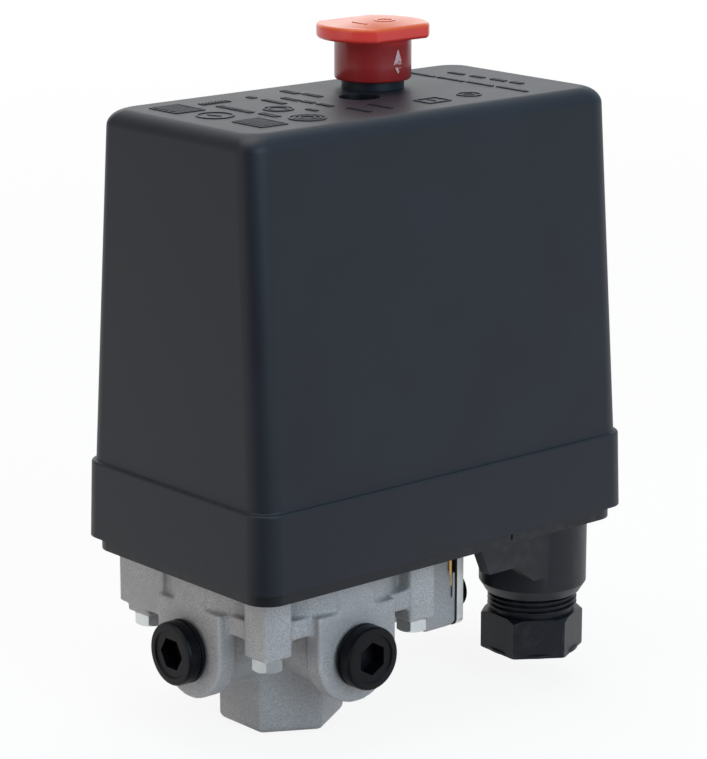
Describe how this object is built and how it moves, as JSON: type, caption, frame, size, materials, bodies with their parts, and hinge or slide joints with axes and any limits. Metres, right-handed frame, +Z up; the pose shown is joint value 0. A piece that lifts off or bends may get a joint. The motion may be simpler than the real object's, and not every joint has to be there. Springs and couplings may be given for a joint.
{
  "type": "air compressor pressure switch",
  "caption": "Compressor pressure switch with a push-pull knob on a tall plastic cover, a hexagonal port on a cast manifold with plugged side ports, and a cable gland.",
  "frame": {"origin": "centre of the tank port's mouth, at the bottom of the hexagonal foot", "axes": "+Z up along the port, +X along the long side towards the cable gland, -Y the front with a side port"},
  "size_m": [0.1338, 0.0788, 0.1871],
  "materials": {
    "cover_plastic": "fine moulded texture, satin",
    "base_plastic": "moulded, satin",
    "black_plastic": "moulded, semi-gloss",
    "red_plastic": "moulded, glossy",
    "plug_black": "satin black",
    "cast_alloy": "die cast, fine grain",
    "zinc_steel": "bright zinc plated",
    "frame_steel": "zinc plated sheet",
    "spring_steel": "drawn wire",
    "contact_brass": "plain",
    "seal_rubber": "moulded",
    "switch_plastic": "moulded thermoset",
    "carrier_plastic": "moulded"
  },
  "bodies": {
    "switch_frame": {"manifold": "cast_alloy", "manifold_bolts": "zinc_steel", "plug_front": "plug_black", "plug_left": "plug_black", "plug_back": "plug_black", "plug_seals": "seal_rubber", "unloader_gasket": "seal_rubber", "unloader_cover": "zinc_steel", "unloader_screws": "zinc_steel", "unloader_fitting": "black_plastic", "base": "base_plastic", "diaphragm": "seal_rubber", "frame": "frame_steel", "top_bridge": "frame_steel", "lever_pin": "zinc_steel", "rocker_pin": "zinc_steel", "cover_post": "zinc_steel", "contact_block": "switch_plastic", "front_terminals": "contact_brass", "back_terminals": "contact_brass", "terminal_screws": "zinc_steel", "earth_screw": "zinc_steel", "earth_washer": "zinc_steel"},
    "cover_group": {"cover": "cover_plastic", "cover_screw": "zinc_steel"},
    "knob_group": {"knob": "red_plastic", "knob_clip": "zinc_steel"},
    "carrier_group": {"contact_carrier": "carrier_plastic", "contact_bridges": "contact_brass", "contact_springs": "spring_steel", "off_rod": "carrier_plastic"},
    "rocker": {"trip_rocker": "frame_steel"},
    "valve_pin": {"unloader_pin": "contact_brass"},
    "plunger_group": {"plunger": "carrier_plastic"},
    "lever": {"main_lever": "frame_steel", "spring_seat": "frame_steel"},
    "adjusting_screw": {"range_screw": "zinc_steel", "range_clip": "zinc_steel"},
    "adjusting_plate": {"range_plate": "frame_steel", "range_spring": "spring_steel"},
    "gland_packing": {"gland_washer": "zinc_steel", "gland_seal": "seal_rubber"},
    "gland_nut": {"gland_screw": "black_plastic"}
  },
  "joints": [
    {"name": "cover_lift", "type": "slide", "parent": "switch_frame", "child": "cover_group", "axis": [0, 0, 1], "range_m": [0, 0.12]},
    {"name": "knob_push", "type": "slide", "parent": "cover_group", "child": "knob_group", "axis": [0, 0, -1], "range_m": [0, 0.0022]},
    {"name": "carrier_slide", "type": "slide", "parent": "switch_frame", "child": "carrier_group", "axis": [0, 0, -1], "range_m": [0, 0.0022]},
    {"name": "rocker_pivot", "type": "hinge", "parent": "switch_frame", "child": "rocker", "pos_m": [0.036, -0.015, 0.108], "axis": [0, 1, 0], "range_deg": [0, 11.39]},
    {"name": "unloader_push", "type": "slide", "parent": "switch_frame", "child": "valve_pin", "axis": [0, 0, -1], "range_m": [0, 0.0022]},
    {"name": "plunger_lift", "type": "slide", "parent": "switch_frame", "child": "plunger_group", "axis": [0, 0, 1], "range_m": [0, 0.0012], "stiffness_N_per_m": 2000},
    {"name": "lever_pivot", "type": "hinge", "parent": "switch_frame", "child": "lever", "pos_m": [-0.024, 0, 0.062], "axis": [0, -1, 0], "range_deg": [0, 2.97]},
    {"name": "range_screw_turn", "type": "hinge", "parent": "switch_frame", "child": "adjusting_screw", "pos_m": [0, 0, 0.13], "axis": [0, 0, 1], "range_deg": [-721, 721]},
    {"name": "range_plate_slide", "type": "slide", "parent": "switch_frame", "child": "adjusting_plate", "axis": [0, 0, 1], "range_m": [-0.002, 0.002], "deforming": ["range_spring"]},
    {"name": "gland_feed", "type": "slide", "parent": "switch_frame", "child": "gland_packing", "axis": [0, 0, -1], "range_m": [0, 0.0045]},
    {"name": "gland_turn", "type": "hinge", "parent": "gland_packing", "child": "gland_nut", "pos_m": [0.075, -0.0215, 0.02], "axis": [0, 0, 1], "range_deg": [-1081, 0]}
  ],
  "couplings": [
    {"joint": "carrier_slide", "follows": "knob_push", "ratio": 1},
    {"joint": "rocker_pivot", "follows": "knob_push", "rad_per_m": 90},
    {"joint": "unloader_push", "follows": "knob_push", "ratio": 1},
    {"joint": "lever_pivot", "follows": "plunger_lift", "rad_per_m": 42.5},
    {"joint": "range_screw_turn", "follows": "range_plate_slide", "rad_per_m": 6283.2},
    {"joint": "gland_turn", "follows": "gland_feed", "rad_per_m": -4188.8}
  ]
}
